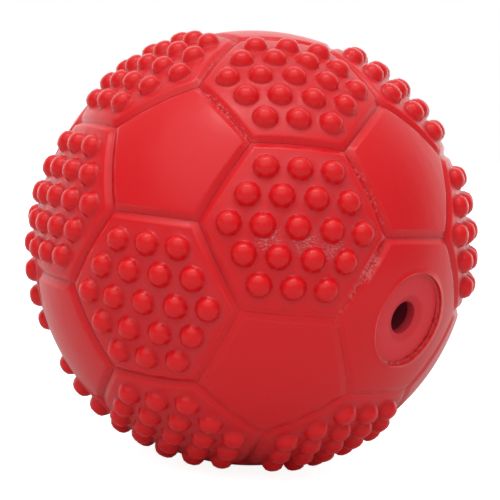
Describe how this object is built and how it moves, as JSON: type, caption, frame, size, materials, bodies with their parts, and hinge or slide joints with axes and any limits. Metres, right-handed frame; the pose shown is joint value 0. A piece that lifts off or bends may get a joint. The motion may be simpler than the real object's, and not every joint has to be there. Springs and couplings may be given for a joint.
{
  "type": "squeaky rubber ball",
  "caption": "Hollow rubber ball with smooth pentagons, hexagons full of domed nubs, and a squeaker set into one smooth hexagon.",
  "frame": {"origin": "the ball's centre", "axes": "+Z through the centre of the top pentagon, with the ball resting on the opposite pentagon; the YZ plane is a mirror plane of the panels, and the squeaker faces +X and -Y, a little below the middle"},
  "size_m": [0.0744, 0.0748, 0.0718],
  "materials": {
    "ball_rubber": "moulded rubber, satin",
    "housing_plastic": "soft moulded plastic, matt",
    "rubber_cement": "dried cement, uneven",
    "reed_unit_plastic": "moulded, satin",
    "reed_film": "stiff polyester film, gloss"
  },
  "bodies": {
    "ball": {"plain_half_shell": "ball_rubber", "squeaker_half_shell": "ball_rubber", "squeaker_housing": "housing_plastic", "cement_bead": "rubber_cement", "reed_seat": "reed_unit_plastic", "reed_wedge": "reed_unit_plastic", "inlet_cap": "reed_unit_plastic"},
    "reed": {"reed": "reed_film"}
  },
  "joints": [
    {"name": "reed_flex", "type": "hinge", "parent": "ball", "child": "reed", "pos_m": [0.01512, -0.02082, -0.00446], "axis": [0.809, 0.5878, 0], "range_deg": [-3.5, 5], "stiffness_Nm_per_rad": 0.01}
  ]
}
